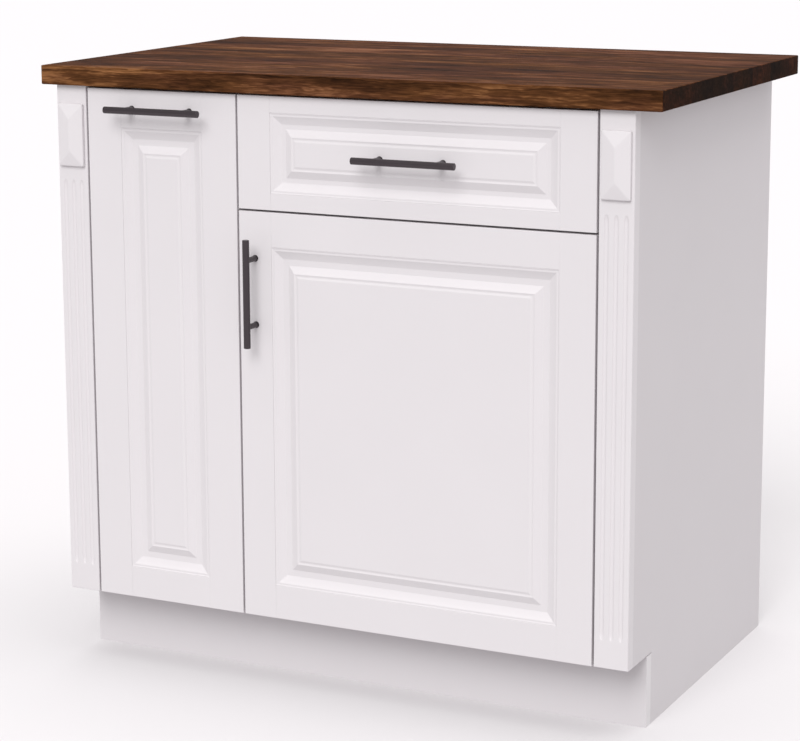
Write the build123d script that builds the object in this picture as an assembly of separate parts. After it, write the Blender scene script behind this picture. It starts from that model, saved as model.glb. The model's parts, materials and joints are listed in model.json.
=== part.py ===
from build123d import *
from math import atan2, degrees, hypot
import os

os.makedirs("parts", exist_ok=True)

# Kitchen base cabinet, in millimetres
# X runs to the right, Y to the back and Z up
# Below, X starts at the body's left side, Y at the faces of the fronts and Z at the floor

# Body
body_width = 900
body_height = 870
body_depth = 580
side_thickness = 18
board = 16
back_thickness = 5
back_recess = 4
top_rail_depth = 100

# Worktop
worktop_thickness = 28
overhang_left = 20
overhang_right = 40
overhang_front = 10
overhang_back = 0
worktop_edge = 1.5

# Plinth
plinth_height = 105
plinth_recess = 75
plinth_thickness = 17

# Fronts
front_thickness = 19
front_gap = 3
bumper_gap = 2
pullout_width = 247
drawer_height = 162
stile_width = 52
pullout_stile_width = 56
door_rail = 50
drawer_rail = 24
pullout_top_rail = 56
pullout_bottom_rail = 47

# Joints between the stiles, rails and panels
joint_line = 1.1
tongue_front = 9
tongue_thickness = 6
tongue_length = 8.5
groove_depth = 9
joint_clearance = 0.1

# Moulding round each raised panel, from the frame inwards
moulding_flat = 6
moulding_slope = 8.5
moulding_valley = 12.5
drawer_valley = 8.5
moulding_bevel = 13
valley_depth = 6.5
field_depth = 0.8
field_step = 0.8

# Pilasters and their capital blocks
pilaster_width = 50
flute_radius = 4
flute_depth = 2.5
flute_spacing = 14
flute_count = 3
flute_bottom_gap = 43
flute_top_gap = 23
capital_width = 42
capital_height = 92
capital_drop = 27
capital_edge = 3
capital_rise = 7
capital_hip = 23

# Bar handles
bar_radius = 5
bar_length = 156
bar_chamfer = 0.8
post_radius = 4
post_spacing = 96
handle_projection = 32
door_handle_drop = 115
handle_screw_bite = 12

# Shelf
shelf_rise = 279
shelf_setback = 19
shelf_side_gap = 1
shelf_back_gap = 6
pin_radius = 2.5
pin_depth = 8
pin_reach = 8
pin_rest_height = 6
pin_rest_width = 12
pin_inset = 50

# Dowels
dowel_radius = 4
dowel_length = 30
dowel_depth = 12
end_gap = 1
fixed_clearance = 0.05

# Screws
screw_radius = 2
screw_head_radius = 4
screw_head_height = 2.4
worktop_screw_length = 34
front_screw_bite = 10
front_screw_inset = 60
front_screw_end = 30

# Telescopic runners
runner_thickness = 12.5
runner_length = 480
runner_setback = 5
runner_height = 45
runner_sheet = 1.2
runner_lip = 9.5
middle_setback = 5
middle_length = 470
middle_height = 34.6
middle_start = 2.3
middle_end = 10.6
inner_height = 25
inner_start = 4.6
cage_length = 240
cage_inset = 5
cage_start = 3.6
cage_end = 9.2
cage_clearance = 0.3

# Drawer box
drawer_side = 12
drawer_side_height = 110
drawer_side_rise = 22
drawer_box_length = 500
drawer_runner_rise = 25
drawer_base = 5
drawer_base_rise = 10
drawer_groove = 6

# Pull-out frame and baskets
frame_rise = 19
frame_bar = 12
frame_length = 500
frame_height = 460
frame_bottom_rail = 25
frame_cross_bar = 10
frame_cross_width = 24
basket_wall = 2
basket_height = 90
basket_clearance = 0.3
upper_basket_rise = 330

# Concealed hinges, with their pivots measured from the door's hinge-side front edge
hinge_end = 90
cup_radius = 17.4
cup_edge = 5
cup_bore_depth = 13
cup_sheet = 0.8
cup_clearance = 0.1
flange_width = 15
flange_length = 60
flange_thickness = 1.2
cup_pivot_in = 11
cup_pivot_back = 11.5
elbow_in = 32.5
elbow_back = 8.6
arm_pivot_in = 36
arm_pivot_back = 28
hinge_pin = 1.5
hinge_clearance = 0.06
link_eye = 2.7
link_strap = 2
link_width = 10
cheek_thickness = 2
cheek_gap = 0.3
cheek_radius = 3.5
nose_gap = 3
arm_thickness = 7
arm_length = 64
plate_thickness = 5
plate_setback = 21
plate_length = 44
plate_height = 40

# Door bumpers
bumper_radius = 3
bumper_inset = 40
bumper_clearance = 0.3

# Places that follow from the sizes above
carcass_front = front_thickness + bumper_gap
carcass_back = body_depth - back_recess - back_thickness
plinth_back = plinth_recess + plinth_thickness
floor_top = plinth_height + board
top_rail_bottom = body_height - board
front_bottom = plinth_height
front_top = body_height - front_gap
pullout_left = pilaster_width + front_gap
pullout_right = pullout_left + pullout_width
door_left = pullout_right + front_gap
door_right = body_width - pilaster_width - front_gap
partition_left = pullout_right + front_gap / 2 - board / 2
partition_right = partition_left + board
right_bay_end = body_width - pilaster_width
drawer_bottom = front_top - drawer_height
door_top = drawer_bottom - front_gap
pullout_centre = (pullout_left + pullout_right) / 2
drawer_centre = (door_left + door_right) / 2
frame_bottom = floor_top + frame_rise
hinge_heights = [front_bottom + hinge_end, door_top - hinge_end]

# The origin is below the middle of the whole cabinet, on the floor
middle_x = (body_width + overhang_right - overhang_left) / 2
middle_y = (body_depth + overhang_back - handle_projection) / 2


def block(x0, x1, y0, y1, z0, z1):
    middle = Pos((x0 + x1) / 2, (y0 + y1) / 2, (z0 + z1) / 2)
    return middle * Box(abs(x1 - x0), abs(y1 - y0), abs(z1 - z0))


def rod_x(x0, x1, y, z, radius):
    return Pos((x0 + x1) / 2, y, z) * Rot(0, 90, 0) * Cylinder(radius, abs(x1 - x0))


def rod_y(x, y0, y1, z, radius):
    return Pos(x, (y0 + y1) / 2, z) * Rot(90, 0, 0) * Cylinder(radius, abs(y1 - y0))


def rod_z(x, y, z0, z1, radius):
    return Pos(x, y, (z0 + z1) / 2) * Cylinder(radius, abs(z1 - z0))


def group(pieces):
    return Compound([solid for piece in pieces for solid in piece.solids()])


def save(node, shape):
    placed = shape.moved(Location((-middle_x, -middle_y, 0)))
    export_step(placed, f"parts/{node}.step")


# Dowels: each place is an axis, the middle of the joint and the way into the longer half
front_rail_start = carcass_front
back_rail_start = carcass_back - top_rail_depth
front_rail_y = front_rail_start + top_rail_depth / 2
back_rail_y = back_rail_start + top_rail_depth / 2


def dowel_places():
    places = []
    floor_middle = plinth_height + board / 2
    rail_middle = body_height - board / 2
    for joint_x, into in ((side_thickness, 1), (body_width - side_thickness, -1)):
        for y in (front_rail_y, body_depth / 2, back_rail_y):
            places.append(("x", joint_x, y, floor_middle, into))
        for y in (front_rail_y, back_rail_y):
            places.append(("x", joint_x, y, rail_middle, into))
        edge_x = joint_x - into * side_thickness / 2
        for share in (0.2, 0.5, 0.8):
            z = front_bottom + share * (body_height - front_bottom)
            places.append(("y", edge_x, front_thickness, z, 1))
        places.append(("y", edge_x, plinth_back, plinth_height / 2, 1))
    uprights = (pilaster_width - board / 2, partition_left + board / 2, right_bay_end + board / 2)
    for x in uprights:
        for y in (front_rail_y, back_rail_y):
            places.append(("z", x, y, floor_top, 1))
            places.append(("z", x, y, top_rail_bottom, -1))
    return places


def make_dowel(place, radius, gap):
    axis, x, y, z, into = place
    start = -into * (dowel_depth - gap)
    end = into * (dowel_length - dowel_depth - gap)
    if axis == "x":
        return rod_x(x + start, x + end, y, z, radius)
    if axis == "y":
        return rod_y(x, y + start, y + end, z, radius)
    return rod_z(x, y, z + start, z + end, radius)


dowel_holes = [make_dowel(place, dowel_radius + fixed_clearance, 0) for place in dowel_places()]


def make_dowels():
    return group([make_dowel(place, dowel_radius, end_gap) for place in dowel_places()])


# Screws with flat round heads, and the holes for them
def make_screw_y(x, z, tip, back):
    shank = rod_y(x, tip, back, z, screw_radius)
    return shank + rod_y(x, back, back + screw_head_height, z, screw_head_radius)


def make_hole_y(x, z, tip, back):
    return rod_y(x, tip, back, z, screw_radius + fixed_clearance)


# Boards of the body
def make_side(x0):
    x1 = x0 + side_thickness
    side = block(x0, x1, front_thickness, body_depth, 0, body_height)
    notch = block(x0, x1, front_thickness, plinth_back, 0, plinth_height)
    return side - notch - dowel_holes


def make_upright(x0, front):
    return block(x0, x0 + board, front, carcass_back, floor_top, top_rail_bottom) - dowel_holes


def make_across(y0, y1, z0, z1):
    return block(side_thickness, body_width - side_thickness, y0, y1, z0, z1)


def make_plinth():
    return block(0, body_width, plinth_recess, plinth_back, 0, plinth_height) - dowel_holes


# Worktop, screwed to the top rails from below
worktop_screw_tip = top_rail_bottom + worktop_screw_length


def worktop_screw_places():
    bay = right_bay_end - partition_right
    columns = (pullout_centre, partition_right + bay * 0.25, partition_right + bay * 0.75)
    return [(x, y) for x in columns for y in (front_rail_y, back_rail_y)]


def worktop_screw_holes():
    radius = screw_radius + fixed_clearance
    return [rod_z(x, y, top_rail_bottom, worktop_screw_tip, radius) for x, y in worktop_screw_places()]


def make_worktop():
    worktop = block(
        -overhang_left,
        body_width + overhang_right,
        -overhang_front,
        body_depth + overhang_back,
        body_height,
        body_height + worktop_thickness,
    )
    worktop = fillet(worktop.edges().group_by(Axis.Z)[-1], worktop_edge)
    return worktop - worktop_screw_holes()


def make_worktop_screws():
    head_bottom = top_rail_bottom - screw_head_height
    screws = []
    for x, y in worktop_screw_places():
        shank = rod_z(x, y, top_rail_bottom, worktop_screw_tip - end_gap, screw_radius)
        screws.append(shank + rod_z(x, y, head_bottom, top_rail_bottom, screw_head_radius))
    return group(screws)


# Shelf on four pins
shelf_bottom = floor_top + shelf_rise
shelf_front = carcass_front + shelf_setback
shelf_back = carcass_back - shelf_back_gap
pin_height = shelf_bottom - pin_rest_height / 2


def make_shelf():
    left = partition_right + shelf_side_gap
    right = right_bay_end - shelf_side_gap
    return block(left, right, shelf_front, shelf_back, shelf_bottom, shelf_bottom + board)


def pin_places():
    rows = (shelf_front + pin_inset, shelf_back - pin_inset)
    return [(x, into, y) for x, into in ((partition_right, -1), (right_bay_end, 1)) for y in rows]


def pin_holes():
    radius = pin_radius + fixed_clearance
    return [rod_x(x, x + into * pin_depth, y, pin_height, radius) for x, into, y in pin_places()]


def make_pins():
    pins = []
    half = pin_rest_width / 2
    for x, into, y in pin_places():
        stem = rod_x(x, x + into * (pin_depth - end_gap), y, pin_height, pin_radius)
        low = shelf_bottom - pin_rest_height
        rest = block(x, x - into * pin_reach, y - half, y + half, low, shelf_bottom)
        pins.append(stem + rest)
    return group(pins)


# Pilasters with flutes, and the hipped blocks on them
capital_top = body_height - capital_drop
capital_bottom = capital_top - capital_height
flute_bottom = front_bottom + flute_bottom_gap
flute_top = capital_bottom - flute_top_gap


def make_pilaster(x0):
    flutes = []
    y = flute_depth - flute_radius
    for step in range(flute_count):
        x = x0 + pilaster_width / 2 + (step - (flute_count - 1) / 2) * flute_spacing
        flutes.append(rod_z(x, y, flute_bottom, flute_top, flute_radius))
        flutes.append(Pos(x, y, flute_bottom) * Sphere(flute_radius))
        flutes.append(Pos(x, y, flute_top) * Sphere(flute_radius))
    pilaster = block(x0, x0 + pilaster_width, 0, front_thickness, front_bottom, body_height)
    return pilaster - flutes - dowel_holes


def make_capital(x0):
    centre = x0 + pilaster_width / 2
    half = capital_width / 2
    plate = block(centre - half, centre + half, -capital_edge, 0, capital_bottom, capital_top)
    roof = Wedge(
        capital_width,
        capital_rise,
        capital_height,
        half,
        capital_hip,
        half,
        capital_height - capital_hip,
    )
    place = Pos(centre, -capital_edge - capital_rise / 2, (capital_bottom + capital_top) / 2)
    return plate + place * Rot(0, 0, 180) * roof


# Framed fronts: stiles and rails joined by tongues, round a raised panel
tongue_back = tongue_front + tongue_thickness


def inset_rectangle(opening, inset, depth):
    x0, x1, z0, z1 = opening
    face = Plane(((x0 + x1) / 2, depth, (z0 + z1) / 2), x_dir=(1, 0, 0), z_dir=(0, 1, 0))
    return face * Rectangle(x1 - x0 - 2 * inset, z1 - z0 - 2 * inset)


def make_raised_panel(opening, valley):
    x0, x1, z0, z1 = opening
    board_part = block(x0, x1, 0, front_thickness, z0, z1)
    tongue = block(
        x0 - tongue_length,
        x1 + tongue_length,
        tongue_front + joint_clearance,
        tongue_back - joint_clearance,
        z0 - tongue_length,
        z1 + tongue_length,
    )
    slope_end = moulding_flat + moulding_slope
    bevel_start = slope_end + valley
    field = bevel_start + moulding_bevel
    bevel_top = field_depth + field_step
    outer_edge = inset_rectangle(opening, moulding_flat, 0)
    recess = loft([outer_edge, inset_rectangle(opening, slope_end, valley_depth)])
    bevel_foot = inset_rectangle(opening, bevel_start, valley_depth)
    hill = loft([bevel_foot, inset_rectangle(opening, field, bevel_top)])
    hill = hill + block(x0 + field, x1 - field, field_depth, bevel_top, z0 + field, z1 - field)
    return board_part + tongue - (recess - hill)


def make_stile(x0, x1, z0, z1, inner_edge, into):
    groove_end = inner_edge + into * groove_depth
    groove = block(inner_edge, groove_end, tongue_front, tongue_back, z0, z1)
    return block(x0, x1, 0, front_thickness, z0, z1) - groove


def make_rail(x0, x1, z0, z1, inner_edge, into):
    left = x0 - tongue_length
    right = x1 + tongue_length
    y0 = tongue_front + joint_clearance
    y1 = tongue_back - joint_clearance
    tongue = block(left, right, y0, y1, z0, z1)
    groove_end = inner_edge + into * groove_depth
    groove = block(left, right, tongue_front, tongue_back, inner_edge, groove_end)
    return block(x0, x1, 0, front_thickness, z0, z1) + tongue - groove


def joint_lines(opening, z0, z1):
    left, right, low, high = opening
    upright = Rot(0, 0, 45) * Box(joint_line, joint_line, z1 - z0)
    level = Rot(45, 0, 0) * Box(right - left, joint_line, joint_line)
    lines = [Pos(x, 0, (z0 + z1) / 2) * upright for x in (left, right)]
    return lines + [Pos((left + right) / 2, 0, z) * level for z in (low, high)]


def make_front(x0, x1, z0, z1, stile, bottom_rail, top_rail, valley):
    opening = (x0 + stile, x1 - stile, z0 + bottom_rail, z1 - top_rail)
    left, right, low, high = opening
    lines = joint_lines(opening, z0, z1)
    return {
        "left": make_stile(x0, left, z0, z1, left, -1) - lines,
        "right": make_stile(right, x1, z0, z1, right, 1) - lines,
        "bottom": make_rail(left, right, z0, low, low, -1) - lines,
        "top": make_rail(left, right, high, z1, high, 1) - lines,
        "panel": make_raised_panel(opening, valley) - lines,
    }


# Bar handles on two posts, with the screws that hold them from behind
bar_y = bar_radius - handle_projection


def post_places(x, z, upright):
    offsets = (-post_spacing / 2, post_spacing / 2)
    if upright:
        return [(x, z + offset) for offset in offsets]
    return [(x + offset, z) for offset in offsets]


def make_handle(x, z, upright, face, back):
    half = bar_length / 2
    if upright:
        bar = rod_z(x, bar_y, z - half, z + half, bar_radius)
    else:
        bar = rod_x(x - half, x + half, bar_y, z, bar_radius)
    tip = face - handle_screw_bite
    posts = []
    screws = []
    for post_x, post_z in post_places(x, z, upright):
        post = rod_y(post_x, bar_y, face, post_z, post_radius)
        posts.append(post - bar - make_hole_y(post_x, post_z, tip, face))
        screws.append(make_screw_y(post_x, post_z, tip + end_gap, back))
    bar = chamfer(bar.edges().filter_by(GeomType.CIRCLE), bar_chamfer)
    return {"bar": bar, "posts": group(posts), "screws": group(screws)}


def handle_holes(x, z, upright, back):
    return [make_hole_y(post_x, post_z, 0, back) for post_x, post_z in post_places(x, z, upright)]


# Telescopic runners: a member on the cabinet, one in the middle and one on the drawer
runner_front = carcass_front + runner_setback
runner_back = runner_front + runner_length
middle_front = runner_front + middle_setback
middle_back = middle_front + middle_length
inner_web = (runner_thickness - runner_sheet, runner_thickness)

# The web, the lips, the height and the two ends of each member
members = {
    "cabinet_rails": ((0, runner_sheet), (0, runner_lip), runner_height, runner_front, runner_back),
    "middle_rails": (
        (middle_start, middle_start + runner_sheet),
        (middle_start, middle_end),
        middle_height,
        middle_front,
        middle_back,
    ),
    "inner_rails": (inner_web, (inner_start, runner_thickness), inner_height, runner_front, runner_back),
}


def make_member(face_x, side, z, member):
    web, lips, height, y0, y1 = member
    web_x = [face_x + side * reach for reach in web]
    lip_x = [face_x + side * reach for reach in lips]
    low = z - height / 2
    high = z + height / 2
    lower_lip = block(*lip_x, y0, y1, low, low + runner_sheet)
    upper_lip = block(*lip_x, y0, y1, high - runner_sheet, high)
    return block(*web_x, y0, y1, low, high) + lower_lip + upper_lip


def make_cages(face_x, side, z):
    outer = (middle_height / 2, runner_height / 2 - runner_sheet - cage_clearance)
    inner = (inner_height / 2 + cage_clearance, middle_height / 2 - runner_sheet)
    outer_x = face_x + side * cage_start
    inner_x = face_x + side * (inner_start + runner_sheet)
    end_x = face_x + side * cage_end
    back = middle_back - cage_inset
    front = middle_front + cage_inset
    cages = []
    for up in (1, -1):
        outer_z = [z + up * reach for reach in outer]
        inner_z = [z + up * reach for reach in inner]
        cages.append(block(outer_x, end_x, back - cage_length, back, *outer_z))
        cages.append(block(inner_x, end_x, front, front + cage_length, *inner_z))
    return cages


def make_runners(left_face, right_face, z):
    faces = ((left_face, 1), (right_face, -1))
    runners = {}
    for name, member in members.items():
        runners[name] = [make_member(face_x, side, z, member) for face_x, side in faces]
    runners["ball_cages"] = [cage for face_x, side in faces for cage in make_cages(face_x, side, z)]
    return runners


# Drawer box behind the drawer's front
drawer_box_left = partition_right + runner_thickness
drawer_box_right = right_bay_end - runner_thickness
drawer_box_back = front_thickness + drawer_box_length
drawer_inner_face = front_thickness + drawer_side
drawer_side_bottom = drawer_bottom + drawer_side_rise


def make_drawer_bottom(clearance):
    reach = drawer_groove + clearance
    z0 = drawer_side_bottom + drawer_base_rise
    return block(
        drawer_box_left + drawer_side - reach,
        drawer_box_right - drawer_side + reach,
        drawer_inner_face - reach,
        drawer_box_back - drawer_side + reach,
        z0 - clearance,
        z0 + drawer_base + clearance,
    )


def make_drawer_box():
    left = drawer_box_left + drawer_side
    right = drawer_box_right - drawer_side
    back = drawer_box_back - drawer_side
    low = drawer_side_bottom
    high = drawer_side_bottom + drawer_side_height
    groove = make_drawer_bottom(joint_clearance)
    return {
        "left_side": block(drawer_box_left, left, front_thickness, drawer_box_back, low, high) - groove,
        "right_side": block(right, drawer_box_right, front_thickness, drawer_box_back, low, high) - groove,
        "inner_front": block(left, right, front_thickness, drawer_inner_face, low, high) - groove,
        "back": block(left, right, back, drawer_box_back, low, high) - groove,
        "bottom": make_drawer_bottom(0),
    }


def drawer_screw_places():
    columns = (drawer_box_left + front_screw_inset, drawer_box_right - front_screw_inset)
    low = drawer_side_bottom + front_screw_end
    high = drawer_side_bottom + drawer_side_height - front_screw_end
    return [(x, z) for x in columns for z in (low, high)]


# Pull-out: a frame welded from bar, which carries two baskets
frame_left = pilaster_width + runner_thickness
frame_right = partition_left - runner_thickness
frame_front = front_thickness
frame_back = frame_front + frame_length
frame_top = frame_bottom + frame_height
frame_face = frame_front + frame_bar
basket_floors = [frame_bottom + frame_cross_bar, frame_bottom + upper_basket_rise]


def make_pullout_frame():
    rail_top = frame_bottom + frame_bottom_rail
    upper = basket_floors[1]
    bars = []
    for x in (frame_left, frame_right - frame_bar):
        for y in (frame_front, frame_back - frame_bar):
            bars.append(block(x, x + frame_bar, y, y + frame_bar, frame_bottom, frame_top))
        bars.append(block(x, x + frame_bar, frame_front, frame_back, frame_bottom, rail_top))
        bars.append(block(x, x + frame_bar, frame_front, frame_back, upper - frame_cross_bar, upper))
    for floor in basket_floors:
        low = floor - frame_cross_bar
        for y in (frame_front, frame_back - frame_cross_width):
            bars.append(block(frame_left, frame_right, y, y + frame_cross_width, low, floor))
    return bars[0] + bars[1:]


def make_basket(floor):
    inset = frame_bar + basket_clearance
    x0 = frame_left + inset
    x1 = frame_right - inset
    y0 = frame_front + inset
    y1 = frame_back - inset
    wall = basket_wall
    top = floor + basket_height
    inside = block(x0 + wall, x1 - wall, y0 + wall, y1 - wall, floor + wall, top)
    return block(x0, x1, y0, y1, floor, top) - inside


def pullout_screw_places():
    columns = (frame_left + frame_bar / 2, frame_right - frame_bar / 2)
    low = frame_bottom + front_screw_inset
    high = frame_top - front_screw_inset
    return [(x, z) for x in columns for z in (low, high)]


# Concealed hinges: a cup in the door, a cranked link, and an arm on a plate in the cabinet
cup_x = door_right - cup_edge - cup_radius - cup_clearance
cup_bore_floor = front_thickness - cup_bore_depth
cup_floor = cup_bore_floor + cup_clearance
cup_pivot = (door_right - cup_pivot_in, cup_pivot_back)
elbow = (door_right - elbow_in, elbow_back)
arm_pivot = (door_right - arm_pivot_in, arm_pivot_back)


def cup_bores():
    radius = cup_radius + cup_clearance
    return [rod_y(cup_x, cup_bore_floor, front_thickness, z, radius) for z in hinge_heights]


def make_cup(z):
    left = cup_x - flange_width / 2
    right = cup_x + flange_width / 2
    back = front_thickness + flange_thickness
    half = flange_length / 2
    bowl = rod_y(cup_x, cup_floor, front_thickness, z, cup_radius)
    flange = block(left, right, front_thickness, back, z - half, z + half)
    hollow = rod_y(cup_x, cup_floor + cup_sheet, back, z, cup_radius - cup_sheet)
    pin = rod_z(*cup_pivot, z - cup_radius, z + cup_radius, hinge_pin) & bowl
    return bowl + flange - hollow + pin


def make_strap(start, end, z):
    run_x = end[0] - start[0]
    run_y = end[1] - start[1]
    middle = Pos((start[0] + end[0]) / 2, (start[1] + end[1]) / 2, z)
    turn = Rot(0, 0, degrees(atan2(run_y, run_x)))
    return middle * turn * Box(hypot(run_x, run_y), link_strap, link_width)


def make_link(z):
    low = z - link_width / 2
    high = z + link_width / 2
    link = make_strap(cup_pivot, elbow, z) + make_strap(elbow, arm_pivot, z)
    link = link + rod_z(*elbow, low, high, link_strap / 2)
    eyes = [rod_z(*pivot, low, high, link_eye) for pivot in (cup_pivot, arm_pivot)]
    radius = hinge_pin + hinge_clearance
    return link + eyes - [rod_z(*pivot, low, high, radius) for pivot in (cup_pivot, arm_pivot)]


def make_arm(z):
    cheek_near = link_width / 2 + cheek_gap
    reach = cheek_near + cheek_thickness
    nose_front = arm_pivot_back - cheek_radius
    nose_back = arm_pivot_back + cheek_radius
    nose_left = arm_pivot[0] + link_eye + nose_gap
    leg_right = right_bay_end - plate_thickness
    leg_left = leg_right - arm_thickness
    arm = block(leg_left, leg_right, nose_front, nose_front + arm_length, z - reach, z + reach)
    arm = arm + block(nose_left, leg_right, nose_front, nose_back, z - reach, z + reach)
    arm = arm + rod_z(*arm_pivot, z - reach, z + reach, hinge_pin)
    for side in (1, -1):
        cheek = (z + side * cheek_near, z + side * reach)
        arm = arm + block(arm_pivot[0], nose_left, nose_front, nose_back, *cheek)
        arm = arm + rod_z(*arm_pivot, *cheek, cheek_radius)
    return arm


def make_plate(z):
    front = front_thickness + plate_setback
    left = right_bay_end - plate_thickness
    half = plate_height / 2
    return block(left, right_bay_end, front, front + plate_length, z - half, z + half)


def make_bumpers():
    x = (door_left + partition_right) / 2
    back = carcass_front - bumper_clearance
    heights = (front_bottom + bumper_inset, door_top - bumper_inset)
    return group([rod_y(x, front_thickness, back, z, bumper_radius) for z in heights])


# Body of the cabinet
save("worktop", make_worktop())
save("worktop_screws", make_worktop_screws())
save("left_side_panel", make_side(0))
save("right_side_panel", make_side(body_width - side_thickness))
save("left_lining_panel", make_upright(pilaster_width - board, front_thickness))
save("right_lining_panel", make_upright(right_bay_end, front_thickness) - pin_holes())
save("centre_partition", make_upright(partition_left, carcass_front) - pin_holes())
save("bottom_panel", make_across(carcass_front, carcass_back, plinth_height, floor_top) - dowel_holes)
for name, start in (("front", front_rail_start), ("back", back_rail_start)):
    rail = make_across(start, start + top_rail_depth, top_rail_bottom, body_height)
    save(f"{name}_top_rail", rail - dowel_holes - worktop_screw_holes())
save("back_panel", make_across(carcass_back, carcass_back + back_thickness, plinth_height, body_height))
save("plinth_board", make_plinth())
save("shelf", make_shelf())
save("shelf_pins", make_pins())
save("carcass_dowels", make_dowels())
for name, start in (("left", 0), ("right", right_bay_end)):
    save(f"{name}_pilaster", make_pilaster(start))
    save(f"{name}_capital_block", make_capital(start))

# Runners of the drawer and of the pull-out
drawer_runner_height = drawer_side_bottom + drawer_runner_rise
pullout_runner_height = frame_bottom + frame_bottom_rail / 2
runner_sets = {
    "drawer": make_runners(partition_right, right_bay_end, drawer_runner_height),
    "pullout": make_runners(pilaster_width, partition_left, pullout_runner_height),
}
for name, runners in runner_sets.items():
    for member, pieces in runners.items():
        save(f"{name}_{member}", group(pieces))

# Drawer
drawer_front = make_front(
    door_left, door_right, drawer_bottom, front_top, stile_width, drawer_rail, drawer_rail, drawer_valley
)
drawer_handle_height = (drawer_bottom + front_top) / 2
screw_tip = front_thickness - front_screw_bite
drawer_holes = handle_holes(drawer_centre, drawer_handle_height, False, drawer_inner_face)
for x, z in drawer_screw_places():
    drawer_holes.append(make_hole_y(x, z, screw_tip, drawer_inner_face))
drawer_screws = [make_screw_y(x, z, screw_tip + end_gap, drawer_inner_face) for x, z in drawer_screw_places()]
save("drawer_front_stiles", group([drawer_front["left"], drawer_front["right"]]))
save("drawer_front_rails", group([drawer_front["bottom"], drawer_front["top"]]))
save("drawer_front_panel", drawer_front["panel"] - drawer_holes)
save("drawer_front_screws", group(drawer_screws))
drawer_box = make_drawer_box()
drawer_box["inner_front"] = drawer_box["inner_front"] - drawer_holes
for name, piece in drawer_box.items():
    save(f"drawer_{name}", piece)

# Pull-out
pullout_front = make_front(
    pullout_left,
    pullout_right,
    front_bottom,
    front_top,
    pullout_stile_width,
    pullout_bottom_rail,
    pullout_top_rail,
    moulding_valley,
)
pullout_handle_height = front_top - pullout_top_rail / 2
pullout_handle_holes = handle_holes(pullout_centre, pullout_handle_height, False, front_thickness)
frame_holes = [make_hole_y(x, z, screw_tip, frame_face) for x, z in pullout_screw_places()]
frame_screws = [make_screw_y(x, z, screw_tip + end_gap, frame_face) for x, z in pullout_screw_places()]
pullout_stiles = [pullout_front[name] - frame_holes for name in ("left", "right")]
save("pullout_front_stiles", group(pullout_stiles))
save("pullout_front_rails", group([pullout_front["bottom"], pullout_front["top"] - pullout_handle_holes]))
save("pullout_front_panel", pullout_front["panel"])
save("pullout_front_screws", group(frame_screws))
save("pullout_frame", make_pullout_frame() - frame_holes)
for name, floor in zip(("lower", "upper"), basket_floors):
    save(f"pullout_{name}_basket", make_basket(floor))

# Door
door_front = make_front(
    door_left, door_right, front_bottom, door_top, stile_width, door_rail, door_rail, moulding_valley
)
door_handle_x = door_left + stile_width / 2
door_handle_height = door_top - door_handle_drop
door_holes = handle_holes(door_handle_x, door_handle_height, True, front_thickness)
save("door_stiles", group([door_front["left"] - door_holes, door_front["right"] - cup_bores()]))
save("door_rails", group([door_front["bottom"], door_front["top"]]))
save("door_panel", door_front["panel"])
save("door_bumpers", make_bumpers())
save("hinge_cups", group([make_cup(z) for z in hinge_heights]))
save("hinge_links", group([make_link(z) for z in hinge_heights]))
save("hinge_arms", group([make_arm(z) for z in hinge_heights]))
save("hinge_plates", group([make_plate(z) for z in hinge_heights]))

# Handles
handles = {
    "drawer": make_handle(drawer_centre, drawer_handle_height, False, field_depth, drawer_inner_face),
    "pullout": make_handle(pullout_centre, pullout_handle_height, False, 0, front_thickness),
    "door": make_handle(door_handle_x, door_handle_height, True, 0, front_thickness),
}
for name, pieces in handles.items():
    for piece, shape in pieces.items():
        save(f"{name}_handle_{piece}", shape)
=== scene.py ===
import json
import math

import bmesh
import bpy
from mathutils import Matrix, Vector


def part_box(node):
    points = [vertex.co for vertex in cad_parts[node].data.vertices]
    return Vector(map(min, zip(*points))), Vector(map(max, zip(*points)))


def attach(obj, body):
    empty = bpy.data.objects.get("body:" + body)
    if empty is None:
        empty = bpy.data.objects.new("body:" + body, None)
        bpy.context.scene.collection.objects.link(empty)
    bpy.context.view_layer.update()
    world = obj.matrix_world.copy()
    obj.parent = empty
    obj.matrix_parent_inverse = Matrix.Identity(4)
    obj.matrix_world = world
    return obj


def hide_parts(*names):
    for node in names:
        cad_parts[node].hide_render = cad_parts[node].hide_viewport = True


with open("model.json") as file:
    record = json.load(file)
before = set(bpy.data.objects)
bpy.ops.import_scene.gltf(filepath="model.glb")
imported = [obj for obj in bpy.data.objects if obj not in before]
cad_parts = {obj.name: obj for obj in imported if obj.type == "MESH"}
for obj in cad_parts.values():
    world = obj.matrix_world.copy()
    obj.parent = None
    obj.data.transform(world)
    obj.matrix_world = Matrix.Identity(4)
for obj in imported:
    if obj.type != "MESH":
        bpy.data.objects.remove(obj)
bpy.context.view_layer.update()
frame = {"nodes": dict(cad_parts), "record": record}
scene = bpy.context.scene
print("frame loaded")


tolerance = {  # in metres
    "weld": 0.00001,  # points nearer than this become one
    "fineWeld": 0.000003,  # the same, on pieces with small bevels
    "plane": 0.00005,  # how far off a side a point still counts as on it
    "level": 0.0001,  # how far below the top a point still counts as at the top
}


def hexColour(code):  # an sRGB hex colour as the linear one that shaders take
    channels = [int(code[i:i + 2], 16) / 255 for i in (0, 2, 4)]
    return (*[c / 12.92 if c <= 0.04045 else ((c + 0.055) / 1.055) ** 2.4 for c in channels], 1)


def addNode(tree, kind, settings=None, links=None):  # a shader node, set up and linked
    node = tree.nodes.new("ShaderNode" + kind)
    for name, value in (settings or {}).items():
        if isinstance(name, int) or name in node.inputs:
            node.inputs[name].default_value = value
        else:
            setattr(node, name, value)
    for name, source in (links or {}).items():
        tree.links.new(source, node.inputs[name])
    return node


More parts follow.
